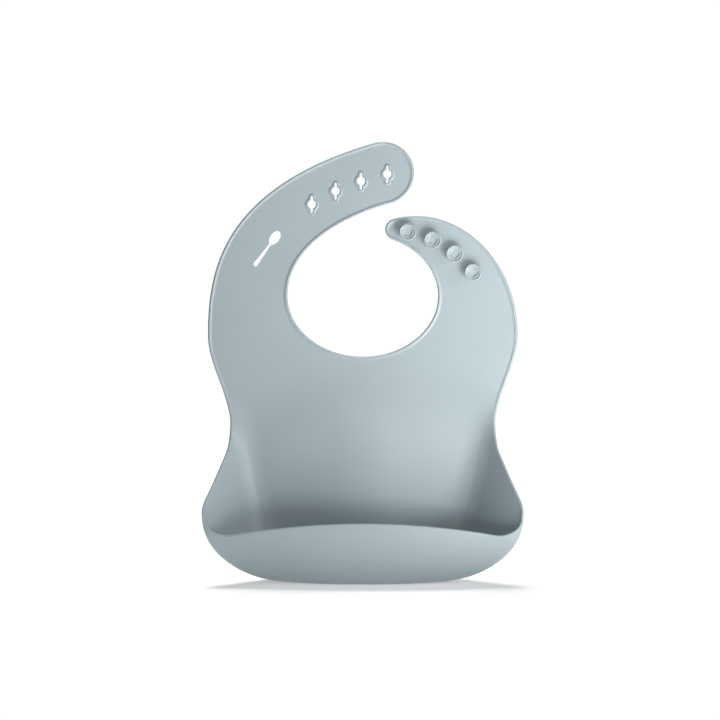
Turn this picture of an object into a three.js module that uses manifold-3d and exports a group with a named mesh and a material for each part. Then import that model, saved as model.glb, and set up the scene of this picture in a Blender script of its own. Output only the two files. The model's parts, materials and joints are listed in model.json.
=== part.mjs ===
// Silicone bib with a catch pocket: one thin sheet whose neck ring closes with buttons and keyholes,
// and whose lower end is folded into a pocket that stands on its own flat foot.
// Millimetres, +Z up, +X to the viewer's right, and the front of the bib faces -Y.
import * as THREE from 'three';
import { mergeVertices } from 'three/addons/utils/BufferGeometryUtils.js';
import Module from 'manifold-3d';

const wasm = await Module();
wasm.setup();
const { clamp, lerp, degToRad } = THREE.MathUtils;

// Sheet
const SHEET = 1.8;              // wall thickness all over
const BEAD_WIDTH = 2.4;         // raised rim along the outer edges and the neckline
const BEAD_THICK = 3.0;
const GAP = 0.3;                // left between neighbouring solids

// Outline of the flat upper sheet
const NECK = { z: 193.2, a: 51.15, b: 41.6 };                  // neckline ellipse about x = 0
const BULGE = { x: 105.3, z: 165.9 };                          // widest place of the chest
const WAIST = { x: 90.6, z: 106 };                             // narrowest place
const HOLE_TIP = { x: 13.3, z: 277.1, r: 21.5, top: 0.29, inner: 0.25 };
const HOLE_OUTER = { start: 42.2, end: 110 };                  // handle lengths of the strap's edges
const HOLE_INNER = { start: 41.8, end: 12.5 };
const STUD_TIP = { neck: degToRad(66.6), r: 7.6, top: 0.27 };
const STUD_OUTER = { start: 41.8, end: 55.2 };
const STUD_SIDE = { x: 13, z: 251.5 };                         // its strap lies right of and below this
const SIDE_PARTS = 6;                                          // straight stretches up each side edge
const CURVE_STEPS = 12;

// Places where the sheet bends, and half the length of each bending stretch
const WAIST_FOLD = { z: 138, half: 6 };
const ROOT_FOLD = { z: 191.2, half: 5 };
const TIP_FOLD = { z: 194, angle: degToRad(133), half: 4 };    // on a ray from x = 0 at this height
const TOE_TOP = 12;

// Closure: both rows lie on arcs about their own centres
const BUTTONS = { x: 15.6, z: 164, r: 75, first: 78.5, step: -13.57, count: 4 };
const BUTTON = { root: 3.5, flare: 0.8, stem: 2.7, reach: 3.2, head: 5.7, thick: 2.2 };
const BUTTON_EDGE = { low: 0.7, high: 0.5, ring: 1.4, dish: 0.3 };
const KEYHOLES = { x: 46.4, z: 128.1, r: 151, first: 122.4, step: -7.03, count: 4 };
const KEYHOLE = { r: 3.05, slit: 0.8, tall: 6.0 };
const KEYHOLE_RIM = { r: 4.6, slit: 2.1, tall: 7.2 };

// Pocket: level slices through its walls
const FOOT = { halfWidth: 43.5, back: 5.5, side: 22, front: 34 };
const CORNER = { x: 113.7, y: 43, z: 46 };                     // where the rim turns into the lip
const FOLD = { spread: 44.5, power: 0.45, top: 131 };          // the back panel's edge folds forward
const GUSSET = { angle: degToRad(47.9), full: 88 };            // the side's greatest angle to the panel
const RIM_FLARE = { z: 97.5, blend: 14 };                      // below here the rim widens to the corner
const FRONT = { deep: 51, lean: 5, flat: 45, share: 0.7 };
const LIP = { middle: 44.2, drop: 14, corner: 0.2 };
const ROUNDING = { fold: 0.2, corner: 0.22, flat: 0.8 };       // shares of the neighbouring lengths
const FLOOR_TOP = 2.5;

const SILICONE = { color: 0x95a2a6, roughness: 0.45, metalness: 0 };

const FAR = 400;                                               // past the bib's edge in any direction
const smooth = (t) => clamp(t, 0, 1) ** 2 * (3 - 2 * clamp(t, 0, 1));
// 0 before the corner and x after it, rounded over r to each side.
const ramp = (x, r) => (x <= -r ? 0 : x >= r ? x : (x + r) ** 2 / (4 * r));
// Rises from 0 at the floor to 1 at the height, as a quarter of an ellipse.
const hull = (h, height) => Math.sqrt(1 - (1 - clamp(h / height, 0, 1)) ** 2);

// ---------------------------------------------------------------- solids

function solidOf(geometry) {
  const bare = geometry.clone();
  bare.deleteAttribute('normal');
  bare.deleteAttribute('uv');
  const merged = mergeVertices(bare, 1e-4);
  const mesh = new wasm.Mesh({
    numProp: 3,
    vertProperties: Float32Array.from(merged.attributes.position.array),
    triVerts: Uint32Array.from(merged.index.array),
  });
  return new wasm.Manifold(mesh);
}

function geometryOf(solid) {
  const mesh = solid.getMesh();
  const geometry = new THREE.BufferGeometry();
  geometry.setAttribute('position', new THREE.BufferAttribute(mesh.vertProperties, 3));
  geometry.setIndex(new THREE.BufferAttribute(mesh.triVerts, 1));
  return geometry;
}

// A shape drawn in x and z, given its thickness along y, half to each side of the sheet's mid plane.
function plate(shape, thick, steps = 1) {
  const options = { depth: thick, bevelEnabled: false, curveSegments: steps };
  const geometry = new THREE.ExtrudeGeometry(shape, options);
  return geometry.rotateX(Math.PI / 2).translate(0, thick / 2, 0);
}

// A block that cuts the flat sheet: all of it in y, and between these limits in z and x.
function block(zMin, zMax, xMin = -FAR, xMax = FAR) {
  const geometry = new THREE.BoxGeometry(xMax - xMin, 4 * BEAD_THICK, zMax - zMin);
  return solidOf(geometry.translate((xMin + xMax) / 2, 0, (zMin + zMax) / 2));
}

// ---------------------------------------------------------------- flat upper sheet

// Half the width of the sheet at a height, measured along the sheet where it is folded.
function edgeWidth(z) {
  const chest = (BULGE.x - WAIST.x) * smooth((z - WAIST.z) / (BULGE.z - WAIST.z));
  const slope = (stations(CORNER.z).corner - WAIST.x) / (RIM_FLARE.z - CORNER.z);
  return WAIST.x + chest + slope * ramp(RIM_FLARE.z - z, RIM_FLARE.blend);
}

function neckPoint(angle) {
  return new THREE.Vector2(NECK.a * Math.cos(angle), NECK.z + NECK.b * Math.sin(angle));
}

function neckNormal(angle) {
  return new THREE.Vector2(Math.cos(angle) / NECK.a, Math.sin(angle) / NECK.b).normalize();
}

function outline() {
  const low = WAIST_FOLD.z - 2 * WAIST_FOLD.half;
  const rise = (BULGE.z - low) / SIDE_PARTS;
  const path = new THREE.Path();
  path.moveTo(edgeWidth(low), low);
  for (let i = 1; i <= SIDE_PARTS; i += 1) {
    path.lineTo(edgeWidth(low + i * rise), low + i * rise);
  }
  const stud = neckNormal(STUD_TIP.neck).multiplyScalar(STUD_TIP.r).add(neckPoint(STUD_TIP.neck));
  const studTop = new THREE.Vector2(-Math.sin(STUD_TIP.top), Math.cos(STUD_TIP.top));
  const studStart = studTop.clone().multiplyScalar(STUD_TIP.r).add(stud);
  path.bezierCurveTo(
    BULGE.x, BULGE.z + STUD_OUTER.end,
    studStart.x + STUD_OUTER.start * studTop.y, studStart.y - STUD_OUTER.start * studTop.x,
    studStart.x, studStart.y,
  );
  const studEnd = Math.PI + neckNormal(STUD_TIP.neck).angle();
  path.absarc(stud.x, stud.y, STUD_TIP.r, Math.PI / 2 + STUD_TIP.top, studEnd, false);
  path.absellipse(0, NECK.z, NECK.a, NECK.b, STUD_TIP.neck, -Math.PI, true);
  const { x, z, r, top, inner } = HOLE_TIP;
  const innerX = x + r * Math.sin(inner);
  const innerZ = z - r * Math.cos(inner);
  path.bezierCurveTo(
    -NECK.a, NECK.z + HOLE_INNER.start,
    innerX - HOLE_INNER.end * Math.cos(inner), innerZ - HOLE_INNER.end * Math.sin(inner),
    innerX, innerZ,
  );
  path.absarc(x, z, r, inner - Math.PI / 2, Math.PI / 2 + top, false);
  const outerX = x - r * Math.sin(top);
  const outerZ = z + r * Math.cos(top);
  path.bezierCurveTo(
    outerX - HOLE_OUTER.end * Math.cos(top), outerZ - HOLE_OUTER.end * Math.sin(top),
    -BULGE.x, BULGE.z + HOLE_OUTER.start,
    -BULGE.x, BULGE.z,
  );
  for (let i = SIDE_PARTS - 1; i >= 0; i -= 1) {
    path.lineTo(-edgeWidth(low + i * rise), low + i * rise);
  }
  return dropRepeats(path.getPoints(CURVE_STEPS));
}

function dropRepeats(points) {
  return points.filter((p, i) => p.distanceTo(points[(i + 1) % points.length]) > 0.05);
}

function inset(points, distance) {
  const count = points.length;
  return points.map((p, i) => {
    const along = points[(i + 1) % count].clone().sub(points[(i + count - 1) % count]).normalize();
    return new THREE.Vector2(p.x - along.y * distance, p.y + along.x * distance);
  });
}

// Two round-ended slits above and below a round hole, or the same outline grown into its rim.
function keyholeOutline({ r, slit, tall }) {
  const open = Math.acos(slit / r);
  const path = new THREE.Shape();
  path.absarc(0, 0, r, -open, open, false);
  path.absarc(0, tall - slit, slit, 0, Math.PI, false);
  path.absarc(0, 0, r, Math.PI - open, Math.PI + open, false);
  path.absarc(0, slit - tall, slit, Math.PI, 2 * Math.PI, false);
  return path;
}

function arcPlace({ x, z, r, first, step }, i) {
  const angle = degToRad(first + i * step);
  return { x: x + r * Math.cos(angle), z: z + r * Math.sin(angle) };
}

function wholeSheet() {
  const edge = outline();
  const border = new THREE.Shape(edge);
  border.holes.push(new THREE.Path(inset(edge, BEAD_WIDTH)));
  const web = solidOf(plate(new THREE.Shape(edge), SHEET));
  const bead = solidOf(plate(border, BEAD_THICK));
  return web.add(bead.intersect(block(WAIST_FOLD.z + WAIST_FOLD.half, FAR)));
}

// All on one side of the fold line across the hole strap, from a distance to it, as a large block.
function besideTipFold(side, offset) {
  const half = new THREE.BoxGeometry(FAR, 4 * BEAD_THICK, FAR);
  half.translate(0, 0, side * (FAR / 2 + offset));
  half.rotateY(-TIP_FOLD.angle);
  return solidOf(half.translate(0, 0, TIP_FOLD.z));
}

function keyholeWindows() {
  const grown = {
    r: KEYHOLE_RIM.r + GAP,
    slit: KEYHOLE_RIM.slit + GAP,
    tall: KEYHOLE_RIM.tall + GAP,
  };
  const windows = [];
  for (let i = 0; i < KEYHOLES.count; i += 1) {
    const { x, z } = arcPlace(KEYHOLES, i);
    windows.push(solidOf(plate(keyholeOutline(grown), 2 * BEAD_THICK, 3).translate(x, 0, z)));
  }
  return windows;
}

function sheetPieces() {
  const sheet = wholeSheet();
  const half = GAP / 2;
  const waistLow = WAIST_FOLD.z - WAIST_FOLD.half;
  const waistHigh = WAIST_FOLD.z + WAIST_FOLD.half;
  const rootLow = ROOT_FOLD.z - ROOT_FOLD.half;
  const rootHigh = ROOT_FOLD.z + ROOT_FOLD.half;
  const rootBend = sheet.intersect(block(rootLow + half, rootHigh - half));
  const straps = sheet.intersect(block(rootHigh + half, FAR));
  const studSide = block(0, STUD_SIDE.z, STUD_SIDE.x, FAR);
  const holeStrap = straps.subtract(studSide);
  let tip = holeStrap.intersect(besideTipFold(-1, TIP_FOLD.half + half));
  for (const window of keyholeWindows()) {
    tip = tip.subtract(window);
  }
  const nearTip = besideTipFold(-1, half - TIP_FOLD.half);
  const nearRoot = besideTipFold(1, half - TIP_FOLD.half);
  return {
    waist_bend: sheet.intersect(block(waistLow + half, waistHigh - half)),
    chest_panel: sheet.intersect(block(waistHigh + half, rootLow - half)),
    hole_strap_root_bend: rootBend.intersect(block(0, FAR, -FAR, 0)),
    hole_strap: holeStrap.intersect(besideTipFold(1, TIP_FOLD.half + half)),
    hole_strap_tip_bend: holeStrap.intersect(nearTip).intersect(nearRoot),
    hole_strap_tip: tip,
    stud_strap_root_bend: rootBend.intersect(block(0, FAR, 0, FAR)),
    stud_strap: straps.intersect(studSide),
  };
}

// ---------------------------------------------------------------- closure

function keyholeRim() {
  const shape = keyholeOutline(KEYHOLE_RIM);
  shape.holes.push(keyholeOutline(KEYHOLE));
  return plate(shape, BEAD_THICK, 3);
}

// A mushroom stud: flared root, stem, and a head with a raised ring round a shallow dish.
function button() {
  const { root, flare, stem, reach, head, thick } = BUTTON;
  const { low, high, ring, dish } = BUTTON_EDGE;
  const top = reach + thick;
  const inner = head - high - ring;
  const profile = [
    [0, 0], [root, 0], [stem, flare], [stem, reach], [head - low, reach], [head, reach + low],
    [head, top - high], [head - high, top], [inner, top], [inner - dish, top - dish], [0, top - dish],
  ];
  const lathe = new THREE.LatheGeometry(profile.map(([r, h]) => new THREE.Vector2(r, h)), 16);
  return lathe.rotateX(Math.PI).translate(0, -SHEET / 2 - GAP, 0);
}

// ---------------------------------------------------------------- pocket

// The side's angle to the back panel in a slice at or below the corner.
function angleBelow(z) {
  const { fold, corner } = slice(z);
  return Math.atan2(fold.y - corner.y, corner.x - fold.x);
}

// The same above the corner: it goes on opening as it did there, up to its greatest, then folds flat.
function sideAngle(z) {
  const start = angleBelow(CORNER.z);
  const length = GUSSET.full - CORNER.z;
  const rate = (start - angleBelow(CORNER.z - 1)) * length;
  const t = clamp((z - CORNER.z) / length, 0, 1);
  const opening = lerp(start, GUSSET.angle, smooth(t)) + rate * t * (1 - t) ** 2;
  return opening * smooth((FOLD.top - z) / (FOLD.top - GUSSET.full));
}

// The corners of the pocket's level slice at a height: fold, outer corner, and end of the flat front.
function slice(z) {
  const h = Math.max(z - SHEET / 2, 0);
  const rise = hull(h, CORNER.z - SHEET / 2);
  const foldX = FOOT.halfWidth + FOLD.spread * (h / FOLD.top) ** FOLD.power;
  const fold = new THREE.Vector2(foldX, -FOOT.back * (1 - hull(h, FOOT.back)));
  const corner = new THREE.Vector2(lerp(FOOT.halfWidth, CORNER.x, rise), -lerp(FOOT.side, CORNER.y, rise));
  if (z > CORNER.z) {
    const { fold: lowFold, corner: lowCorner } = slice(CORNER.z);
    const reach = lowFold.distanceTo(lowCorner);
    corner.set(fold.x + reach * Math.cos(sideAngle(z)), -reach * Math.sin(sideAngle(z)));
  }
  const depth = lerp(FOOT.front, FRONT.deep, rise) + FRONT.lean * h / CORNER.z;
  const flat = new THREE.Vector2(Math.min(FRONT.flat, FRONT.share * corner.x), -depth);
  return { fold, corner, flat };
}

// Arc lengths along the slice at its corners, and at its end in the middle of the front.
function stations(z) {
  const { fold, corner, flat } = slice(z);
  const atCorner = fold.x + fold.distanceTo(corner);
  const atFlat = atCorner + corner.distanceTo(flat);
  return { fold: fold.x, corner: atCorner, flat: atFlat, end: atFlat + flat.x };
}

// The sheet's mid surface at arc length q from the middle of the back, with every corner rounded.
function surface(q, z) {
  const { fold, corner, flat } = slice(z);
  const at = stations(z);
  const side = Math.sign(q) || 1;
  const along = Math.abs(q);
  const outward = corner.clone().sub(fold).normalize();
  const inward = flat.clone().sub(corner).normalize();
  const toFold = ramp(along - at.fold, ROUNDING.fold * fold.distanceTo(corner));
  const shorter = Math.min(fold.distanceTo(corner), corner.distanceTo(flat));
  const toCorner = ramp(along - at.corner, ROUNDING.corner * shorter);
  const toFlat = ramp(along - at.flat, ROUNDING.flat * flat.x);
  const point = new THREE.Vector2(along, fold.y);
  point.addScaledVector(outward, toFold).add(new THREE.Vector2(-toFold, 0));
  point.addScaledVector(inward, toCorner).addScaledVector(outward, -toCorner);
  point.add(new THREE.Vector2(-toFlat, 0)).addScaledVector(inward, -toFlat);
  return new THREE.Vector3(side * point.x, point.y, z);
}

// The height of the lip at a fraction of the way from the corner to the middle of the front.
function lipHeight(f) {
  const rise = CORNER.z - LIP.middle + LIP.drop;
  return LIP.middle - LIP.drop * (1 - f) ** 2 + rise * Math.max(0, 1 - f / LIP.corner) ** 2;
}

const PANEL_SHARE = 0.9;                                       // of the way to the fold is the back panel
const SIDE_STEPS = [0, 0.12, 0.3, 0.5, 0.7, 0.85, 1];
const FRONT_STEPS = [0, 0.05, 0.1, 0.17, 0.3, 0.5, 0.75, 1];
const LEVELS = [5, 8, 14, 22, 32, 39, 46, 56, 68, 80, 92, 104, 118];
const FLOOR_LEVELS = [0, 0.12, 0.45, 1.2, FLOOR_TOP];
const TOE_ROWS = [0, 0.3, 0.6, 1];
const WALL_ROWS = [0, 0.25, 0.5, 0.75, 1];

const backPlace = (u, z) => surface(u * PANEL_SHARE * stations(z).fold, z);

function sidePlace(s, z, side) {
  const at = stations(z);
  const edge = z > CORNER.z ? edgeWidth(z) : at.corner - GAP / 2;
  return surface(side * lerp(PANEL_SHARE * at.fold + 2 * GAP, edge, s), z);
}

// u runs from -1 at the right corner, over 0 in the middle of the front, to 1 at the left corner.
function frontPlace(u, z) {
  const at = stations(z);
  return surface((u > 0 ? -1 : 1) * lerp(at.end, at.corner + GAP / 2, Math.abs(u)), z);
}

// The outward normal of a surface whose u runs clockwise as seen from above and whose z runs up.
function normalOf(place, u, z) {
  const d = 1e-3;
  const du = place(u + d, z).sub(place(u - d, z));
  const dz = place(u, z + d).sub(place(u, Math.max(z - d, SHEET / 2)));
  return dz.cross(du).normalize();
}

function bodyOf(points, index) {
  const geometry = new THREE.BufferGeometry().setFromPoints(points);
  geometry.setIndex(index);
  return geometry;
}

// A closed shell of the sheet's thickness over a grid of the mid surface.
function shell(place, us, vs, heightOf = (u, v) => v) {
  const outer = [];
  const inner = [];
  for (const v of vs) {
    for (const u of us) {
      const z = heightOf(u, v);
      const offset = normalOf(place, u, z).multiplyScalar(SHEET / 2);
      outer.push(place(u, z).add(offset));
      inner.push(place(u, z).sub(offset));
    }
  }
  const cols = us.length;
  const rows = vs.length;
  const base = outer.length;
  const index = [];
  const quad = (a, b, c, d) => index.push(a, b, c, a, c, d);
  for (let j = 0; j < rows - 1; j += 1) {
    for (let i = 0; i < cols - 1; i += 1) {
      const a = j * cols + i;
      quad(a, a + cols, a + cols + 1, a + 1);
      quad(base + a, base + a + 1, base + a + cols + 1, base + a + cols);
    }
  }
  for (let i = 0; i < cols - 1; i += 1) {
    const top = (rows - 1) * cols + i;
    quad(i, i + 1, base + i + 1, base + i);
    quad(top + 1, top, base + top, base + top + 1);
  }
  for (let j = 0; j < rows - 1; j += 1) {
    const left = j * cols;
    const right = left + cols - 1;
    quad(left + cols, left, base + left, base + left + cols);
    quad(right, right + cols, base + right + cols, base + right);
  }
  return bodyOf(outer.concat(inner), index);
}

const spread = (low, high, steps) => steps.map((s) => lerp(low, high, s));
const panelLevels = [FLOOR_TOP + SHEET / 2 + GAP, ...LEVELS, WAIST_FOLD.z - WAIST_FOLD.half - GAP / 2];

function lowerPanel() {
  return shell(backPlace, [-1, -0.5, 0, 0.5, 1], panelLevels);
}

function gusset(side) {
  const place = (u, z) => sidePlace(side * u, z, side);
  const steps = side > 0 ? SIDE_STEPS : SIDE_STEPS.map((s) => -s).reverse();
  return shell(place, steps, panelLevels);
}

// A stretch of the pocket's front between a level and a height that may change along it.
function frontShell(low, highOf, rows) {
  const half = FRONT_STEPS.map((f) => 1 - f);
  const steps = [...half.map((u) => -u), ...half.slice(0, -1).reverse()];
  return shell(frontPlace, steps, rows, (u, v) => lerp(low, highOf(1 - Math.abs(u)), v));
}

function pocketToe() {
  return frontShell(FLOOR_TOP + SHEET / 2 + GAP, () => TOE_TOP - GAP / 2, TOE_ROWS);
}

function frontWall() {
  return frontShell(TOE_TOP + GAP / 2, lipHeight, WALL_ROWS);
}

// One level loop of the pocket, from the middle of the back round the right side to where it began.
function loop(z) {
  const at = stations(z);
  const half = [
    0, PANEL_SHARE / 2 * at.fold,
    ...spread(PANEL_SHARE * at.fold, at.corner, SIDE_STEPS),
    ...spread(at.corner, at.end, FRONT_STEPS.slice(1)),
  ];
  const left = half.slice(1, -1).reverse().map((q) => -q);
  return half.concat(left);
}

// The foot: a flat sole and the first turn of the walls, closed across the middle.
function pocketFloor() {
  const heights = FLOOR_LEVELS.map((h) => h + SHEET / 2);
  const outer = [];
  const inner = [];
  for (const z of heights) {
    for (const q of loop(z)) {
      const offset = z === heights[0] ? new THREE.Vector3(0, 0, -1) : normalOf(surface, q, z);
      offset.multiplyScalar(SHEET / 2);
      outer.push(surface(q, z).add(offset));
      inner.push(surface(q, z).sub(offset));
    }
  }
  const middle = -(FOOT.back + FOOT.front) / 2;
  outer.push(new THREE.Vector3(0, middle, 0));
  inner.push(new THREE.Vector3(0, middle, SHEET));
  const count = loop(heights[0]).length;
  const base = outer.length;
  const last = (heights.length - 1) * count;
  const index = [];
  const quad = (a, b, c, d) => index.push(a, b, c, a, c, d);
  for (let i = 0; i < count; i += 1) {
    const next = (i + 1) % count;
    index.push(base - 1, i, next, 2 * base - 1, base + next, base + i);
    for (let row = 0; row < last; row += count) {
      const a = row + i;
      const b = row + next;
      quad(a, a + count, b + count, b);
      quad(base + a, base + b, base + b + count, base + a + count);
    }
    quad(last + next, last + i, base + last + i, base + last + next);
  }
  return bodyOf(outer.concat(inner), index);
}

// ---------------------------------------------------------------- assembly

const bib = new THREE.Group();

function add(name, geometry, x = 0, z = 0) {
  const mesh = new THREE.Mesh(geometry, new THREE.MeshStandardMaterial(SILICONE));
  mesh.name = name;
  mesh.position.set(x, 0, z);
  bib.add(mesh);
}

for (const [name, solid] of Object.entries(sheetPieces())) {
  add(name, geometryOf(solid));
}
for (let i = 0; i < KEYHOLES.count; i += 1) {
  const { x, z } = arcPlace(KEYHOLES, i);
  add(`keyhole_rim_${i + 1}`, keyholeRim(), x, z);
}
for (let i = 0; i < BUTTONS.count; i += 1) {
  const { x, z } = arcPlace(BUTTONS, i);
  add(`closure_button_${i + 1}`, button(), x, z);
}
add('lower_panel', lowerPanel());
add('left_gusset', gusset(-1));
add('right_gusset', gusset(1));
add('pocket_floor', pocketFloor());
add('pocket_toe', pocketToe());
add('pocket_front_wall', frontWall());

// The origin is under the middle of the whole bib, on the ground.
const whole = new THREE.Box3().setFromObject(bib);
bib.position.y = -(whole.min.y + whole.max.y) / 2;

export default bib;
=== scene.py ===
"""The looks of the silicone bib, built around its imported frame.

Lengths are in millimetres in the bib's own drawing, where the flat sheet's mid plane is y = 0, the front
faces -y and z is up. to_frame() turns them into metres in the frame that every tool shares.
"""
import json
import math

import bmesh
import bpy
import numpy as np
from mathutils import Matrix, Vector
from mathutils.geometry import delaunay_2d_cdt

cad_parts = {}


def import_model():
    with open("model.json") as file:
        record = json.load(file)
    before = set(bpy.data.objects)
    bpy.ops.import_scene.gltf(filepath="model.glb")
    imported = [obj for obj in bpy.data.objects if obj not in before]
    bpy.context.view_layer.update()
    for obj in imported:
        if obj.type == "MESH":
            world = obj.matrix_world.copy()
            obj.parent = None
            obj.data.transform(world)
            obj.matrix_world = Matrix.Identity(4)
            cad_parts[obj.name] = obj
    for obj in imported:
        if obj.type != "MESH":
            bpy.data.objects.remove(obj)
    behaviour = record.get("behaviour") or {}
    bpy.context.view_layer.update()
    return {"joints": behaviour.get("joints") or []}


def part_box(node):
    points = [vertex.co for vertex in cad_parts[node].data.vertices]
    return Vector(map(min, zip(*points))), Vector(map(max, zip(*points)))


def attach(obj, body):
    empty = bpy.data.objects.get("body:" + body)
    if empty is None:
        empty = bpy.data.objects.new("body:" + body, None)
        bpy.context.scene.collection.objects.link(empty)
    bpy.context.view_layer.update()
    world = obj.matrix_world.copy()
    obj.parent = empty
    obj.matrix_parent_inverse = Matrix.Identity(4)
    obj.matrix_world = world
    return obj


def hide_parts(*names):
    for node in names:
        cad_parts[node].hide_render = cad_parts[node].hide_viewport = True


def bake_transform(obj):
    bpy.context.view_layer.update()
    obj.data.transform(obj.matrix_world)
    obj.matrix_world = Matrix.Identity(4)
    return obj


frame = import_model()
joints = {joint["name"]: joint for joint in frame["joints"]}

MM = 0.001

# Sheet
SHEET = 1.8                     # wall thickness
BEAD_THICK = 3.0                # raised rim along the outer edges and the neckline
BEAD_WIDTH = 2.7
BEAD_FADE = (108, 134)          # heights where the rim is gone and where it is full
EDGE_ROUND = 1.0                # every free edge is rounded over this width
INSETS = (0, 0.08, 0.3, 0.6, 1.0, 1.4, 1.8, 2.2, 2.7, 3.4)     # lines of points along the free edge
GRID = 5.0                      # spacing of points on the flat sheet

# Outline of the flat upper sheet
NECK = {"z": 193.2, "a": 51.15, "b": 41.6}
BULGE = {"x": 105.3, "z": 165.9}
WAIST = {"x": 90.6, "z": 106}
HOLE_TIP = {"x": 13.3, "z": 277.1, "r": 21.5, "top": 0.29, "inner": 0.25}
HOLE_OUTER = {"start": 42.2, "end": 110}
HOLE_INNER = {"start": 41.8, "end": 12.5}
STUD_TIP = {"neck": math.radians(66.6), "r": 7.6, "top": 0.27}
STUD_OUTER = {"start": 41.8, "end": 55.2}
STUD_SIDE = {"x": 13, "z": 251.5}       # the stud strap lies right of and below this point
OUTLINE_LOW = 120

# Seams between the pieces, all in stretches that don't bend
WAIST_SEAM = 131.2
ROOT_SEAM = 184
TIP_SEAM = 10                   # from the tip's fold line, on the strap's side
BAND_STEP = 1.0                 # spacing of rows where the sheet bends

# Closure
STUDS = {"x": 15.6, "z": 164, "r": 75, "first": 78.5, "step": -13.57, "count": 4}
KEYHOLES = {"x": 46.4, "z": 128.1, "r": 151, "first": 122.4, "step": -7.03, "count": 4}
KEYHOLE = {"r": 2.8, "slit": 0.6, "tall": 5.9}
KEYHOLE_RIM = {"r": 4.6, "slit": 2.1, "tall": 7.2}

# Pocket
FOOT = {"half_width": 43.5, "back": 5.5, "side": 22, "front": 34}
CORNER = {"x": 113.7, "y": 43, "z": 46}
FOLD = {"spread": 44.5, "power": 0.45, "top": 131}
GUSSET = {"angle": math.radians(47.9), "full": 88}
RIM_FLARE = {"z": 97.5, "blend": 14}
FRONT = {"deep": 51, "lean": 5, "flat": 45, "share": 0.7}
LIP = {"middle": 44.2, "drop": 14, "corner": 0.2}
# The soft panel bows forward in a ridge down its middle
RIDGE = {"high": 7.5, "round": 17, "top": 151, "droop": 24, "fade": 46, "foot": 44}
ROUNDING = {"fold": 0.2, "corner": 0.22, "flat": 0.8}


def clamp(value, low=0.0, high=1.0):
    return min(max(value, low), high)


def lerp(a, b, t):
    return a + (b - a) * t


def smooth(t):
    t = np.clip(t, 0, 1)
    return t * t * (3 - 2 * t)


def ramp(x, r):
    """0 before the corner and x after it, rounded over r to each side."""
    if x <= -r:
        return 0.0
    return x if x >= r else (x + r) ** 2 / (4 * r)


def hull(h, height):
    """Rises from 0 at the floor to 1 at the height, as a quarter of an ellipse."""
    return math.sqrt(1 - (1 - clamp(h / height)) ** 2)


# ---------------------------------------------------------------- meshes


def to_frame(points):
    """The drawing's millimetres as metres in the shared frame, placed by the CAD's own sheet."""
    low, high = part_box("waist_bend")
    return np.asarray(points, float) * MM + [0, (low.y + high.y) / 2, 0]


def build(name, points, faces, material, sharp=50):
    """An object from points in the drawing, smooth but for edges sharper than an angle in degrees."""
    mesh = bpy.data.meshes.new(name)
    mesh.from_pydata(to_frame(points).tolist(), [], [list(map(int, face)) for face in faces])
    mesh.shade_smooth()
    mesh.set_sharp_from_angle(angle=math.radians(sharp))
    mesh.materials.append(material)
    piece = bpy.data.objects.new(name, mesh)
    bpy.context.scene.collection.objects.link(piece)
    return piece


def vertex_normals(points, faces):
    """Each point's normal, averaged over its faces by their area."""
    normals = np.zeros_like(points)
    for face in faces:
        corners = points[list(face)]
        across = np.cross(corners[2] - corners[0], corners[-1] - corners[1])
        normals[list(face)] += across
    return normals / np.linalg.norm(normals, axis=1)[:, None]


def thicken(points, faces, half):
    """A closed skin round a mid surface: it meets itself where half is 0, and walls close its cut edges."""
    offset = vertex_normals(points, faces) * half[:, None]
    count = len(points)
    inner = [i if half[i] == 0 else i + count for i in range(count)]
    skin = [list(face) for face in faces]
    skin += [[inner[i] for i in reversed(face)] for face in faces]
    directed = {(a, b) for face in faces for a, b in zip(face, face[1:] + face[:1])}
    for a, b in sorted(directed):
        if (b, a) not in directed and (half[a] > 0 or half[b] > 0):
            wall = [b, a, inner[a], inner[b]]
            skin.append([v for i, v in enumerate(wall) if v not in wall[:i]])
    both = np.vstack([points + offset, points - offset])
    used = sorted({i for face in skin for i in face})
    place = {old: new for new, old in enumerate(used)}
    return both[used], [[place[i] for i in face] for face in skin]


def half_thickness(inset, z):
    """Half the sheet's thickness at a distance from its free edge, which is rounded, with a bead."""
    inset = np.where(inset < 0.001, 0, inset)
    edge = np.sqrt(1 - (1 - np.clip(inset / EDGE_ROUND, 0, 1)) ** 2)
    crest = 1 - smooth((inset - EDGE_ROUND) / (BEAD_WIDTH - EDGE_ROUND))
    bead = crest * smooth((z - BEAD_FADE[0]) / (BEAD_FADE[1] - BEAD_FADE[0]))
    return edge * (SHEET + (BEAD_THICK - SHEET) * bead) / 2


def distance_to(line, points):
    """The distance of each point from an open line of points."""
    best = np.full(len(points), np.inf)
    for start, step in zip(line[:-1], np.diff(line, axis=0)):
        share = np.clip((points - start) @ step / (step @ step), 0, 1)
        best = np.minimum(best, np.hypot(*(points - start - share[:, None] * step).T))
    return best


def inside(loop, points):
    """Which points lie inside a closed loop."""
    x, z = points.T
    found = np.zeros(len(points), bool)
    for (x0, z0), (x1, z1) in zip(loop, np.roll(loop, -1, axis=0)):
        if z0 != z1:
            found ^= ((z0 > z) != (z1 > z)) & (x < x0 + (z - z0) * (x1 - x0) / (z1 - z0))
    return found


# ---------------------------------------------------------------- flat upper sheet


def rim_slope():
    """How fast the rim widens below the waist, so that it reaches the pocket's corner."""
    return (stations(CORNER["z"])["corner"] - WAIST["x"]) / (RIM_FLARE["z"] - CORNER["z"])


def edge_width(z):
    """Half the width of the sheet at a height, measured along the sheet where it is folded."""
    chest = (BULGE["x"] - WAIST["x"]) * smooth((z - WAIST["z"]) / (BULGE["z"] - WAIST["z"]))
    return WAIST["x"] + chest + RIM_SLOPE * ramp(RIM_FLARE["z"] - z, RIM_FLARE["blend"])


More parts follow.
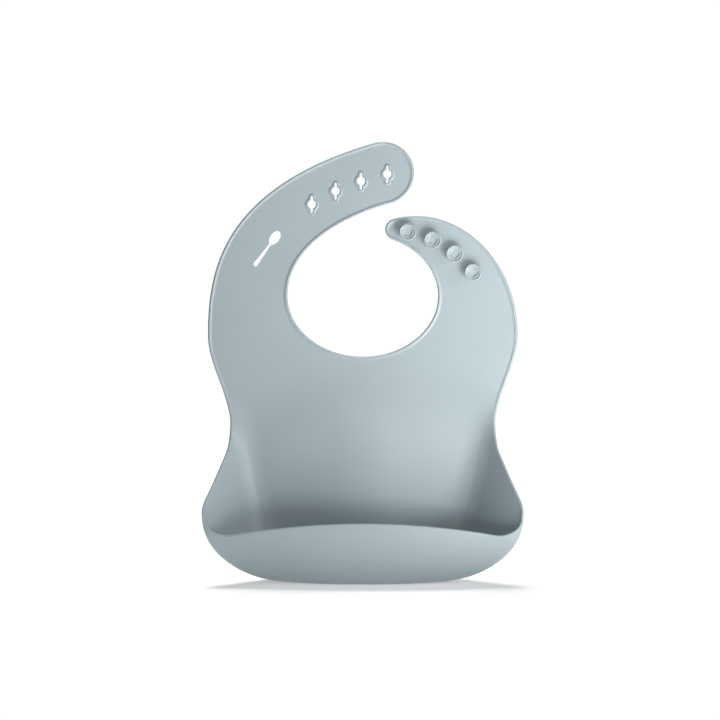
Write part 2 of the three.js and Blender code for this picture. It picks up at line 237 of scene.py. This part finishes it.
def bezier(start, first, second, end, count):
    t = np.linspace(0, 1, count, endpoint=False)[:, None]
    start, first, second, end = (np.array(p, float) for p in (start, first, second, end))
    return (1 - t) ** 3 * start + 3 * t * (1 - t) ** 2 * first + 3 * t * t * (1 - t) * second + t ** 3 * end


def arc(centre, a, b, start, end, count):
    t = np.linspace(start, end, count, endpoint=False)
    return np.column_stack([centre[0] + a * np.cos(t), centre[1] + b * np.sin(t)])


def side_edge(count=32):
    """The right edge from below the waist up to the chest's widest place."""
    heights = np.linspace(OUTLINE_LOW, BULGE["z"], count, endpoint=False)
    return np.array([[edge_width(z), z] for z in heights])


def stud_tip_centre():
    angle = STUD_TIP["neck"]
    normal = np.array([math.cos(angle) / NECK["a"], math.sin(angle) / NECK["b"]])
    normal /= np.linalg.norm(normal)
    point = np.array([NECK["a"] * math.cos(angle), NECK["z"] + NECK["b"] * math.sin(angle)])
    return point + STUD_TIP["r"] * normal, math.atan2(normal[1], normal[0])


def free_edge():
    """The sheet's free edge from the right waist over both straps and the neckline to the left waist."""
    side = side_edge()
    centre, normal = stud_tip_centre()
    r, top = STUD_TIP["r"], STUD_TIP["top"]
    start = centre + [-r * math.sin(top), r * math.cos(top)]
    handle = start + STUD_OUTER["start"] * np.array([math.cos(top), math.sin(top)])
    bulge = np.array([BULGE["x"], BULGE["z"]])
    stud_outer = bezier(bulge, bulge + [0, STUD_OUTER["end"]], handle, start, 64)
    stud_tip = arc(centre, r, r, math.pi / 2 + top, math.pi + normal, 26)
    neckline = arc((0, NECK["z"]), NECK["a"], NECK["b"], STUD_TIP["neck"], -math.pi, 130)
    x, z, r, top, inner = HOLE_TIP.values()
    low = np.array([x + r * math.sin(inner), z - r * math.cos(inner)])
    low_handle = low - HOLE_INNER["end"] * np.array([math.cos(inner), math.sin(inner)])
    neck_left = np.array([-NECK["a"], NECK["z"]])
    hole_inner = bezier(neck_left, neck_left + [0, HOLE_INNER["start"]], low_handle, low, 56)
    hole_tip = arc((x, z), r, r, inner - math.pi / 2, math.pi / 2 + top, 44)
    high = np.array([x - r * math.sin(top), z + r * math.cos(top)])
    high_handle = high - HOLE_OUTER["end"] * np.array([math.cos(top), math.sin(top)])
    bulge_left = bulge * [-1, 1]
    hole_outer = bezier(high, high_handle, bulge_left + [0, HOLE_OUTER["start"]], bulge_left, 110)
    left = np.vstack([bulge_left, side[::-1] * [-1, 1]])
    return np.vstack([side, stud_outer, stud_tip, neckline, hole_inner, hole_tip, hole_outer, left])


def inset_line(line, distance):
    """The line moved to its left."""
    along = np.gradient(line, axis=0)
    along /= np.linalg.norm(along, axis=1)[:, None]
    return line + distance * np.column_stack([-along[:, 1], along[:, 0]])


def row_place(row, i):
    """The place of one stud or keyhole on its arc, and the arc's angle there."""
    angle = math.radians(row["first"] + i * row["step"])
    return np.array([row["x"] + row["r"] * math.cos(angle), row["z"] + row["r"] * math.sin(angle)]), angle


def resample(loop, count):
    """The closed loop with its points spaced evenly."""
    closed = np.vstack([loop, loop[:1]])
    length = np.concatenate([[0], np.cumsum(np.hypot(*np.diff(closed, axis=0).T))])
    at = np.linspace(0, length[-1], count, endpoint=False)
    return np.column_stack([np.interp(at, length, closed[:, k]) for k in (0, 1)])


def keyhole_outline(grown, count=80, passes=2):
    """A round hole with a slit above and below it, grown from the opening (0) to its rim's edge (1)."""
    r, slit, tall = (lerp(KEYHOLE[key], KEYHOLE_RIM[key], grown) for key in ("r", "slit", "tall"))
    opening = math.acos(slit / r)
    loop = np.vstack([
        arc((0, 0), r, r, 0, opening, 12),
        arc((0, tall - slit), slit, slit, 0, math.pi, 16),
        arc((0, 0), r, r, math.pi - opening, math.pi + opening, 24),
        arc((0, slit - tall), slit, slit, math.pi, 2 * math.pi, 16),
        arc((0, 0), r, r, -opening, 0, 12),
    ])
    loop = resample(loop, count)
    for _ in range(passes):
        loop = (np.roll(loop, 1, axis=0) + 2 * loop + np.roll(loop, -1, axis=0)) / 4
    return loop


def window_loops(grown=0.55):
    """The openings in the strap's sheet, which end inside the keyholes' rims."""
    outline = keyhole_outline(grown, count=48)
    return [outline + row_place(KEYHOLES, i)[0] for i in range(KEYHOLES["count"])]


def fill_inner(border, windows):
    """Triangles over the sheet inside its innermost edge line, clear of the windows."""
    low, high = border.min(axis=0), border.max(axis=0)
    columns, rows = np.meshgrid(np.arange(low[0], high[0], GRID), np.arange(low[1], high[1], GRID))
    columns[1::2] += GRID / 2
    grid = np.column_stack([columns.ravel(), rows.ravel()])
    grid = grid[inside(border, grid) & (distance_to(border, grid) > GRID / 3)]
    for window in windows:
        grid = grid[~inside(window, grid) & (distance_to(window, grid) > GRID / 3)]
    points = [border, *windows, grid]
    edges = []
    start = 0
    for loop in points[:-1]:
        edges += [(start + i, start + (i + 1) % len(loop)) for i in range(len(loop))]
        start += len(loop)
    corners = [Vector(p) for p in np.vstack(points)]
    found, _, faces, *_ = delaunay_2d_cdt(corners, edges, [], 1, 1e-4)
    found = np.array(found)
    centres = np.array([found[list(face)].mean(axis=0) for face in faces])
    in_window = np.any([inside(window, centres) for window in windows], axis=0)
    return found, [face for face, drop in zip(faces, in_window) if not drop]


def flat_sheet(edge):
    """The upper sheet's mid plane as a bmesh: lines of points along its edge, and a filled inside."""
    lines = [inset_line(edge, distance) for distance in INSETS]
    found, triangles = fill_inner(lines[-1], window_loops())
    sheet = bmesh.new()
    rows = [[sheet.verts.new((x, 0, z)) for x, z in line] for line in lines]
    for outer, inner in zip(rows, rows[1:]):
        for i in range(len(edge) - 1):
            sheet.faces.new((outer[i], outer[i + 1], inner[i + 1], inner[i]))
    corners = [sheet.verts.new((x, 0, z)) for x, z in found]
    for triangle in triangles:
        sheet.faces.new([corners[i] for i in triangle])
    bmesh.ops.remove_doubles(sheet, verts=sheet.verts, dist=0.01)
    return sheet


def cut(sheet, point, normal, **clear):
    """Cuts along a plane. clear_inner drops what is behind it, clear_outer what is in front."""
    geometry = sheet.verts[:] + sheet.edges[:] + sheet.faces[:]
    bmesh.ops.bisect_plane(sheet, geom=geometry, dist=1e-3, plane_co=point, plane_no=normal, **clear)


def on_stud_side(face):
    centre = face.calc_center_median()
    return centre.x > STUD_SIDE["x"] and centre.z < STUD_SIDE["z"]


def keep_side(sheet, stud_side):
    drop = [face for face in sheet.faces if on_stud_side(face) != stud_side]
    bmesh.ops.delete(sheet, geom=drop, context="FACES")


def bend_rows(sheet, point, normal, low, high):
    """Rows of points across a stretch that bends, from low to high along the normal."""
    for distance in np.arange(low, high + BAND_STEP / 2, BAND_STEP):
        cut(sheet, Vector(point) + Vector(normal) * distance, normal)


def sheet_piece(name, sheet, edge, material):
    """A piece of the flat sheet with its thickness and bead, bowed by what reaches it of the ridge."""
    sheet.verts.index_update()
    points = np.array([v.co for v in sheet.verts])
    faces = [[v.index for v in face.verts] for face in sheet.faces]
    half = half_thickness(distance_to(edge, points[:, [0, 2]]), points[:, 2])
    points[:, 1] -= [ridge(x, z) for x, _, z in points]
    return build(name, *thicken(points, faces, half), material)


def band(node):
    """The lowest and highest height of a bending stretch, in the drawing."""
    low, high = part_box(node)
    return low.z / MM, high.z / MM


def blend_up(piece):
    """Bakes the piece's placement into its points."""
    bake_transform(piece)


def chest_sheet(sheet, edge, material):
    cut(sheet, (0, 0, WAIST_SEAM), (0, 0, 1), clear_inner=True)
    cut(sheet, (0, 0, ROOT_SEAM), (0, 0, 1), clear_outer=True)
    bend_rows(sheet, (0, 0, 0), (0, 0, 1), *band("waist_bend"))
    piece = sheet_piece("chest_sheet", sheet, edge, material)
    blend_up(piece)
    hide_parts("waist_bend", "chest_panel")


def tip_fold():
    """A point on the fold line across the hole strap, and the direction from it to the strap's root."""
    joint = joints["hole_strap_tip_flex"]
    x, _, z = joint["pos_m"]
    along = joint["axis"]
    return Vector((x / MM, 0, z / MM)), Vector((-along[2], 0, along[0]))


def hole_strap_sheet(sheet, edge, material):
    fold, rootward = tip_fold()
    cut(sheet, (0, 0, ROOT_SEAM), (0, 0, 1), clear_inner=True)
    keep_side(sheet, stud_side=False)
    cut(sheet, fold + rootward * TIP_SEAM, rootward, clear_inner=True)
    bend_rows(sheet, (0, 0, 0), (0, 0, 1), *band("hole_strap_root_bend"))
    piece = sheet_piece("hole_strap_sheet", sheet, edge, material)
    blend_up(piece)
    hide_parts("hole_strap_root_bend", "hole_strap")


def hole_strap_tip_sheet(sheet, edge, material, half_band=4):
    fold, rootward = tip_fold()
    cut(sheet, (0, 0, ROOT_SEAM), (0, 0, 1), clear_inner=True)
    keep_side(sheet, stud_side=False)
    cut(sheet, fold + rootward * TIP_SEAM, rootward, clear_outer=True)
    bend_rows(sheet, fold, rootward, -half_band, half_band)
    piece = sheet_piece("hole_strap_tip_sheet", sheet, edge, material)
    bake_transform(piece)
    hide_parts("hole_strap_tip_bend", "hole_strap_tip")


def stud_strap_sheet(sheet, edge, material):
    cut(sheet, (0, 0, ROOT_SEAM), (0, 0, 1), clear_inner=True)
    keep_side(sheet, stud_side=True)
    bend_rows(sheet, (0, 0, 0), (0, 0, 1), *band("stud_strap_root_bend"))
    piece = sheet_piece("stud_strap_sheet", sheet, edge, material)
    blend_up(piece)
    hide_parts("stud_strap_root_bend", "stud_strap")


# ---------------------------------------------------------------- closure

# Across a keyhole's rim: how far out from the opening, and how high over the mid plane.
RIM_SECTION = (
    (-0.03, 0), (0, 0.7), (0.05, 1.1), (0.18, 1.38), (0.4, 1.5),
    (0.65, 1.46), (0.85, 1.28), (1.03, 1.02), (1.2, 0.85),
)

# Up a stud and over its head: radius, height over the CAD button's foot, and how square the line is.
STUD_SECTION = (
    (4.2, -0.5, 0), (3.9, -0.28, 0), (3.4, -0.1, 0), (3.0, 0.25, 0), (2.75, 0.8, 0), (2.7, 2.5, 0),
    (2.8, 2.9, 0), (3.15, 3.1, 0), (5, 3.18, 0), (5.6, 3.3, 0), (5.87, 3.62, 0), (5.9, 4.1, 0),
    (5.9, 4.8, 0), (5.78, 5.16, 0), (5.5, 5.37, 0), (5.15, 5.4, 0), (4.85, 5.3, 0), (4.65, 5.1, 0),
    (4.5, 4.88, 0), (4.2, 4.82, 0), (3.5, 4.82, 0.5), (2.95, 4.82, 1), (2.8, 4.7, 1), (2.65, 4.32, 1),
    (2.25, 4.2, 1), (1.2, 4.18, 0.5),
)
STUD_GAP = 0.3                  # the CAD button's foot lies this far over the sheet's face
BOXINESS = 6                    # the power of the dimple's rounded square: 2 is a circle


def ring_faces(rows, count, closed=False):
    """Quads between rows of a closed loop's points, the last row joined to the first where it is closed."""
    faces = []
    for row in range(rows if closed else rows - 1):
        low, high = row * count, (row + 1) % rows * count
        for i in range(count):
            following = (i + 1) % count
            faces.append([low + i, low + following, high + following, high + i])
    return faces


def keyhole_rims(material, count=80):
    """The moulded rim round each keyhole, raised on both faces."""
    section = list(RIM_SECTION) + [(out, -high) for out, high in reversed(RIM_SECTION[1:])]
    for i in range(KEYHOLES["count"]):
        centre, _ = row_place(KEYHOLES, i)
        loops = [(keyhole_outline(out, count) + centre, high) for out, high in section]
        points = np.array([(x, -high, z) for loop, high in loops for x, z in loop])
        piece = build(f"keyhole_{i + 1}", points, ring_faces(len(section), count, closed=True), material)
        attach(piece, "hole_strap_tip")
        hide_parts(f"keyhole_rim_{i + 1}")


def stud_row(radius, square, count):
    """One line round a stud: a circle, or a square with round corners."""
    t = np.linspace(0, 2 * math.pi, count, endpoint=False)
    boxy = (np.abs(np.cos(t)) ** BOXINESS + np.abs(np.sin(t)) ** BOXINESS) ** (-1 / BOXINESS)
    reach = radius * lerp(1, boxy, square)
    return np.column_stack([reach * np.cos(t), reach * np.sin(t)])


def studs(material, count=64):
    """The mushroom studs, with a raised ring and a square dimple in each head."""
    foot = SHEET / 2 + STUD_GAP
    for i in range(STUDS["count"]):
        (x, z), angle = row_place(STUDS, i)
        turn = np.array([[math.cos(angle), math.sin(angle)], [-math.sin(angle), math.cos(angle)]])
        points = []
        for radius, height, square in STUD_SECTION:
            points += [(x + a, -foot - height, z + b) for a, b in stud_row(radius, square, count) @ turn]
        faces = ring_faces(len(STUD_SECTION), count)
        faces += [list(range(count))[::-1], list(range(len(points) - count, len(points)))]
        piece = build(f"stud_{i + 1}", points, faces, material)
        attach(piece, "stud_strap")
        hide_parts(f"closure_button_{i + 1}")


# A small spoon printed on the strap
SPOON = {
    "x": -65.2, "z": 225.4, "slope": math.radians(54), "length": 29,
    "bowl": 10.5, "wide": 3.1, "neck": 0.9, "handle": 0.75, "end": 1.5, "least": 0.02,
}
INK = 0.1                       # thickness of the print


def spoon_half_width(s):
    """Half the spoon's width at a distance from the bowl's tip."""
    bowl = SPOON["wide"] * math.sqrt(max(0, 1 - (2 * s / SPOON["bowl"] - 1) ** 2))
    along = clamp((s - SPOON["bowl"] * SPOON["neck"]) / (SPOON["length"] - SPOON["bowl"]))
    handle = SPOON["handle"] * (1 + along * along) if along > 0 else 0
    end = math.sqrt(max(0, 1 - clamp((s - SPOON["length"] + SPOON["end"]) / SPOON["end"]) ** 2))
    return max(bowl, handle * end, SPOON["least"])


def strap_mark(material, steps=80):
    """A generic printed mark, a spoon, lying on the face of the hole strap."""
    slope = SPOON["slope"]
    along = np.array([math.cos(slope), math.sin(slope)])
    across = np.array([-along[1], along[0]])
    start = np.array([SPOON["x"], SPOON["z"]]) + along * SPOON["length"] / 2
    points = []
    for s in np.linspace(0, SPOON["length"], steps):
        for side in (-1, 0, 1):
            x, z = start - along * s + across * side * spoon_half_width(s)
            points.append((x, -SHEET / 2, z))
    faces = []
    for i in range(0, 3 * (steps - 1), 3):
        faces += [[i + k, i + k + 1, i + k + 4, i + k + 3] for k in (0, 1)]
    points = np.array(points)
    half = np.full(len(points), INK / 2)
    piece = build("strap_mark", *thicken(points, faces, half), material)
    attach(piece, "hole_strap")


# ---------------------------------------------------------------- pocket


def angle_below(z):
    """The side's angle to the back panel in a slice at or below the corner."""
    fold, corner, _ = pocket_slice(z)
    return math.atan2(fold.y - corner.y, corner.x - fold.x)


def side_angle(z):
    """The same above the corner: it opens on as it did there, up to its greatest, and then folds flat."""
    start = angle_below(CORNER["z"])
    length = GUSSET["full"] - CORNER["z"]
    rate = (start - angle_below(CORNER["z"] - 1)) * length
    t = clamp((z - CORNER["z"]) / length)
    opening = lerp(start, GUSSET["angle"], smooth(t)) + rate * t * (1 - t) ** 2
    return opening * smooth((FOLD["top"] - z) / (FOLD["top"] - GUSSET["full"]))


def pocket_slice(z):
    """The corners of the pocket's level slice: fold, outer corner, and the end of the flat front."""
    h = max(z - SHEET / 2, 0)
    rise = hull(h, CORNER["z"] - SHEET / 2)
    fold_x = FOOT["half_width"] + FOLD["spread"] * (h / FOLD["top"]) ** FOLD["power"]
    fold = Vector((fold_x, -FOOT["back"] * (1 - hull(h, FOOT["back"]))))
    corner = Vector((lerp(FOOT["half_width"], CORNER["x"], rise), -lerp(FOOT["side"], CORNER["y"], rise)))
    if z > CORNER["z"]:
        low_fold, low_corner, _ = pocket_slice(CORNER["z"])
        reach = (low_fold - low_corner).length
        turn = side_angle(z)
        corner = Vector((fold.x + reach * math.cos(turn), -reach * math.sin(turn)))
    depth = lerp(FOOT["front"], FRONT["deep"], rise) + FRONT["lean"] * h / CORNER["z"]
    return fold, corner, Vector((min(FRONT["flat"], FRONT["share"] * corner.x), -depth))


def stations(z):
    """Arc lengths along the slice at its corners, and in the middle of the front."""
    fold, corner, flat = pocket_slice(z)
    at_corner = fold.x + (fold - corner).length
    at_flat = at_corner + (corner - flat).length
    return {"fold": fold.x, "corner": at_corner, "flat": at_flat, "end": at_flat + flat.x}


RIM_SLOPE = rim_slope()


def ridge(x, z):
    """How far the soft panel bows forward: most along its middle, nothing at its folds, top and foot."""
    fold = stations(z)["fold"]
    r = RIDGE["round"]
    along = min(abs(x), fold)
    off_middle = along * along / (2 * r) if along < r else along - r / 2
    top = RIDGE["top"] - RIDGE["droop"] * (along / fold) ** 2
    high = RIDGE["high"] * smooth((top - z) / RIDGE["fade"]) * smooth(z / RIDGE["foot"])
    return high * (1 - off_middle / (fold - r / 2))


def surface(q, z):
    """The sheet's mid surface at arc length q from the middle of the back, with every corner rounded."""
    fold, corner, flat = pocket_slice(z)
    at = stations(z)
    along = abs(q)
    side_length = (corner - fold).length
    front_length = (flat - corner).length
    outward = (corner - fold) / side_length
    inward = (flat - corner) / front_length
    to_fold = ramp(along - at["fold"], ROUNDING["fold"] * side_length)
    to_corner = ramp(along - at["corner"], ROUNDING["corner"] * min(side_length, front_length))
    to_flat = ramp(along - at["flat"], ROUNDING["flat"] * flat.x)
    point = Vector((along - to_fold - to_flat, fold.y))
    point += outward * (to_fold - to_corner) + inward * (to_corner - to_flat)
    return math.copysign(point.x, q), point.y - ridge(q, z), z


def lip_height(f):
    """The height of the lip at a fraction of the way from the corner to the middle of the front."""
    rise = CORNER["z"] - LIP["middle"] + LIP["drop"]
    return LIP["middle"] - LIP["drop"] * (1 - f) ** 2 + rise * max(0, 1 - f / LIP["corner"]) ** 2


PANEL_COLUMNS = 30
SIDE_COLUMNS = 30
FRONT_COLUMNS = 56
FOOT_LEVELS = 44
LEVEL_STEP = 2.4                # between rows above the corner
FLOOR_RINGS = 8
CROWDING = 1.25                 # how much closer the front's columns are at the corner
RIM_START = 8                   # the rim's measured line starts this far over the waist seam


def levels_below():
    """Heights from the foot to the corner, close together where the wall turns and along the lip."""
    height = CORNER["z"] - SHEET / 2
    round_levels = [CORNER["z"] - height * math.cos(t) for t in np.linspace(0, math.pi / 2, FOOT_LEVELS)]
    lip_levels = [CORNER["z"] - inset for inset in reversed(INSETS)]
    return [z for z in round_levels if z < lip_levels[0] - 0.5] + lip_levels


def levels_above():
    count = round((FOLD["top"] - CORNER["z"]) / LEVEL_STEP)
    return [*np.linspace(CORNER["z"], FOLD["top"], count + 1)[1:], WAIST_SEAM]


def wall_edge(z):
    """The arc length where the back and side wall ends: at the rim, or at the corner below the lip."""
    return edge_width(z) if z > CORNER["z"] else stations(z)["corner"]


def back_row(z):
    """Arc lengths across half of the back panel and one side, from the middle to the rim or the corner."""
    fold = stations(z)["fold"]
    edge = wall_edge(z)
    lean = (wall_edge(z + 0.5) - wall_edge(z)) / 0.5 if z > CORNER["z"] else -RIM_SLOPE
    stretch = math.hypot(1, lean)
    insets = [edge - inset * stretch for inset in reversed(INSETS)]
    panel = np.linspace(0, fold, PANEL_COLUMNS, endpoint=False)
    side = np.linspace(fold, insets[0], SIDE_COLUMNS, endpoint=False)
    return [*panel, *side, *insets]


def front_shares():
    """Shares of the way from the corner to the middle of the front, closer together at the corner."""
    return [t ** CROWDING for t in np.linspace(0, 1, FRONT_COLUMNS)]


def front_point(f, z_below):
    """Arc length and height on the front wall, at a share of the way and a level of the corner's column."""
    share = (z_below - SHEET / 2) / (CORNER["z"] - SHEET / 2)
    z = lerp(SHEET / 2, lip_height(f), share)
    at = stations(z)
    return lerp(at["corner"], at["end"], f), z


def rim_line():
    """The pocket's free edge, unrolled: down the rim to the corner, then along the lip to the middle."""
    rim = [(edge_width(z), z) for z in np.arange(WAIST_SEAM + RIM_START, CORNER["z"], -1)]
    lip = [front_point(f, CORNER["z"]) for f in front_shares()]
    return np.array(rim + lip)


def pocket_half(side):
    """One half of the unrolled pocket: its points as arc length and height, and its faces."""
    low, high = levels_below(), levels_above()
    unrolled = []
    rows = []
    for z in low + high:
        row = [(q, z) for q in back_row(z)]
        if z <= CORNER["z"]:
            row += [front_point(f, z) for f in front_shares()[1:]]
        rows.append(range(len(unrolled), len(unrolled) + len(row)))
        unrolled += row
    faces = []
    for below, above in zip(rows, rows[1:]):
        for i in range(min(len(below), len(above)) - 1):
            quad = [below[i], above[i], above[i + 1], below[i + 1]]
            faces.append(quad if side > 0 else quad[::-1])
    return np.array(unrolled), faces, list(rows[0])


def floor_fill(points, loop):
    """Rings of points from the foot's lowest loop to its middle, and the faces between them."""
    outline = points[loop]
    middle = (outline.min(axis=0) + outline.max(axis=0)) / 2
    rings = [lerp(outline, middle, t) for t in np.linspace(0, 1, FLOOR_RINGS, endpoint=False)[1:]]
    start = len(points)
    count = len(loop)
    index = [list(loop)]
    index += [list(range(start + k * count, start + (k + 1) * count)) for k in range(len(rings))]
    faces = []
    for outer, inner in zip(index, index[1:]):
        for i in range(count):
            j = (i + 1) % count
            faces.append([outer[i], outer[j], inner[j], inner[i]])
    centre = start + len(rings) * count
    faces += [[index[-1][i], index[-1][(i + 1) % count], centre] for i in range(count)]
    return np.vstack([points, *rings, middle]), faces


def pocket_shell(material):
    """The pocket in one skin: back panel, folded sides, foot and front wall with its lip."""
    rim = rim_line()
    right, right_faces, right_foot = pocket_half(1)
    left, left_faces, left_foot = pocket_half(-1)
    half = half_thickness(distance_to(rim, right), right[:, 1])
    points = np.array([surface(q, z) for q, z in right] + [surface(-q if q else -0.0, z) for q, z in left])
    shift = len(right)
    faces = right_faces + [[i + shift for i in face] for face in left_faces]
    loop = right_foot + [i + shift for i in left_foot[-2:0:-1]]
    points, floor_faces = floor_fill(points, loop)
    faces += floor_faces
    halves = np.concatenate([half, half, np.full(len(points) - 2 * shift, SHEET / 2)])
    points, faces, halves = weld(points, faces, halves)
    piece = build("pocket_shell", *thicken(points, faces, halves), material)
    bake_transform(piece)
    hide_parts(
        "lower_panel", "left_gusset", "right_gusset",
        "pocket_floor", "pocket_toe", "pocket_front_wall",
    )


def weld(points, faces, values):
    """Joins points that lie in the same place."""
    keys = {}
    place = []
    kept = []
    for i, point in enumerate(points):
        key = tuple(np.round(point, 3) + 0.0)
        if key not in keys:
            keys[key] = len(kept)
            kept.append(i)
        place.append(keys[key])
    joined = [[place[i] for i in face] for face in faces]
    return points[kept], joined, values[kept]


# ---------------------------------------------------------------- materials


def new_material(name, color, roughness):
    material = bpy.data.materials.new(name)
    material.use_nodes = True
    shader = material.node_tree.nodes["Principled BSDF"]
    shader.inputs["Base Color"].default_value = (*color, 1)
    shader.inputs["Roughness"].default_value = roughness
    return material, material.node_tree, shader


def noise(tree, scale, detail):
    """Noise fixed to the object's own place."""
    place = tree.nodes.new("ShaderNodeTexCoord")
    texture = tree.nodes.new("ShaderNodeTexNoise")
    texture.inputs["Scale"].default_value = scale
    texture.inputs["Detail"].default_value = detail
    tree.links.new(place.outputs["Object"], texture.inputs["Vector"])
    return texture.outputs["Fac"]


def spread(tree, value, low, high):
    """The noise stretched over a range."""
    node = tree.nodes.new("ShaderNodeMapRange")
    node.inputs["From Min"].default_value = 0.3
    node.inputs["From Max"].default_value = 0.7
    node.inputs["To Min"].default_value = low
    node.inputs["To Max"].default_value = high
    tree.links.new(value, node.inputs["Value"])
    return node.outputs["Result"]


def tint(tree, value, dark, light):
    """A colour that runs between two by the noise."""
    node = tree.nodes.new("ShaderNodeMix")
    node.data_type = "RGBA"
    node.inputs[6].default_value = (*dark, 1)
    node.inputs[7].default_value = (*light, 1)
    tree.links.new(value, node.inputs[0])
    return node.outputs[2]


def add_bump(tree, shader, value, strength, distance):
    node = tree.nodes.new("ShaderNodeBump")
    node.inputs["Strength"].default_value = strength
    node.inputs["Distance"].default_value = distance
    tree.links.new(value, node.inputs["Height"])
    tree.links.new(node.outputs["Normal"], shader.inputs["Normal"])


SILICONE = (0.301, 0.360, 0.382)


def silicone_material():
    """Blue-grey silicone from a satin mould: soft gloss, faint clouding and a fine grain."""
    material, tree, shader = new_material("silicone", SILICONE, 0.42)
    clouds = spread(tree, noise(tree, 18, 3), 0, 1)
    dark, light = ([channel * share for channel in SILICONE] for share in (0.97, 1.03))
    tree.links.new(tint(tree, clouds, dark, light), shader.inputs["Base Color"])
    tree.links.new(spread(tree, noise(tree, 160, 4), 0.38, 0.46), shader.inputs["Roughness"])
    add_bump(tree, shader, noise(tree, 1500, 2), 0.05, 0.0001)
    shader.inputs["Specular IOR Level"].default_value = 0.45
    return material


def print_material():
    """White ink with a slightly uneven edge to its gloss."""
    material, tree, shader = new_material("white_print", (0.9, 0.9, 0.9), 0.5)
    tree.links.new(spread(tree, noise(tree, 300, 3), 0.45, 0.6), shader.inputs["Roughness"])
    add_bump(tree, shader, noise(tree, 2500, 2), 0.1, 0.00005)
    return material


# ---------------------------------------------------------------- studio


def aim(item, at, target):
    item.location = at
    item.rotation_mode = "QUATERNION"
    item.rotation_quaternion = (Vector(target) - Vector(at)).to_track_quat("-Z", "Y")
    bpy.context.scene.collection.objects.link(item)


def camera():
    """Level with the bib's middle and far off, looking down a little."""
    data = bpy.data.cameras.new("camera")
    data.sensor_width = 36
    distance, frame_width, elevation = 10, 0.4896, math.radians(7)
    data.lens = data.sensor_width * distance / frame_width
    target = Vector((-0.0019, 0.0275, 0.1492))
    back = Vector((0, -math.cos(elevation), math.sin(elevation)))
    item = bpy.data.objects.new("camera", data)
    aim(item, target + back * distance, target)
    bpy.context.scene.camera = item


def softbox(name, at, target, size, power):
    data = bpy.data.lights.new(name, "AREA")
    data.shape = "RECTANGLE"
    data.size, data.size_y = size
    data.energy = power
    aim(bpy.data.objects.new(name, data), at, target)


def floor(reach=0.62, count=64):
    """A round white floor that glows, so that it stays white around the bib's soft shadow."""
    mesh = bpy.data.meshes.new("floor")
    edge = [(x, y, 0) for x, y in arc((0, 0), reach, reach, 0, 2 * math.pi, count)]
    mesh.from_pydata(edge, [], [list(range(count))])
    material, _, shader = new_material("floor", (0.82, 0.82, 0.82), 0.9)
    shader.inputs["Emission Color"].default_value = (1, 1, 1, 1)
    shader.inputs["Emission Strength"].default_value = 0.3
    mesh.materials.append(material)
    item = bpy.data.objects.new("floor", mesh)
    bpy.context.scene.collection.objects.link(item)


def world():
    """White behind the bib, and a dimmer white as its surroundings' light."""
    made = bpy.data.worlds.new("studio")
    made.use_nodes = True
    tree = made.node_tree
    background = tree.nodes["Background"]
    path = tree.nodes.new("ShaderNodeLightPath")
    strength = tree.nodes.new("ShaderNodeMapRange")
    strength.inputs["To Min"].default_value = 0.05
    strength.inputs["To Max"].default_value = 1.05
    tree.links.new(path.outputs["Is Camera Ray"], strength.inputs["Value"])
    tree.links.new(strength.outputs["Result"], background.inputs["Strength"])
    background.inputs["Color"].default_value = (1, 1, 1, 1)
    bpy.context.scene.world = made


TABLE = 0.004                   # height of the bright patches that lie on the table

# Softboxes: place, the point it faces, size in metres, power in watts
SOFTBOXES = {
    "table_far": ((0.4, -0.4, TABLE), (0.4, -0.4, 1), (0.3, 0.25), 5.4),
    "table_near": ((0.2, -0.2, TABLE), (0.2, -0.2, 1), (0.2, 0.15), 1.0),
    "low_right": ((0.75, -0.8, 0.05), (0, 0.02, 0.11), (0.24, 0.18), 1.6),
    "right": ((0.95, -0.4, 0.4), (0, 0.02, 0.2), (0.24, 0.24), 3.6),
    "front": ((0, -1.13, 0.5), (0, 0, 0.12), (0.6, 0.6), 3.9),
    "top": ((-0.1, 0.35, 1.1), (0, 0, 0), (0.5, 0.5), 14),
}


def studio():
    camera()
    world()
    floor()
    for name, placing in SOFTBOXES.items():
        softbox(name, *placing)
    bpy.context.scene.view_settings.view_transform = "Standard"


def silicone_bib():
    silicone = silicone_material()
    edge = free_edge()
    sheet = flat_sheet(edge)
    for make in (chest_sheet, hole_strap_sheet, hole_strap_tip_sheet, stud_strap_sheet):
        make(sheet.copy(), edge, silicone)
    pocket_shell(silicone)
    keyhole_rims(silicone)
    studs(silicone)
    strap_mark(print_material())


studio()
silicone_bib()
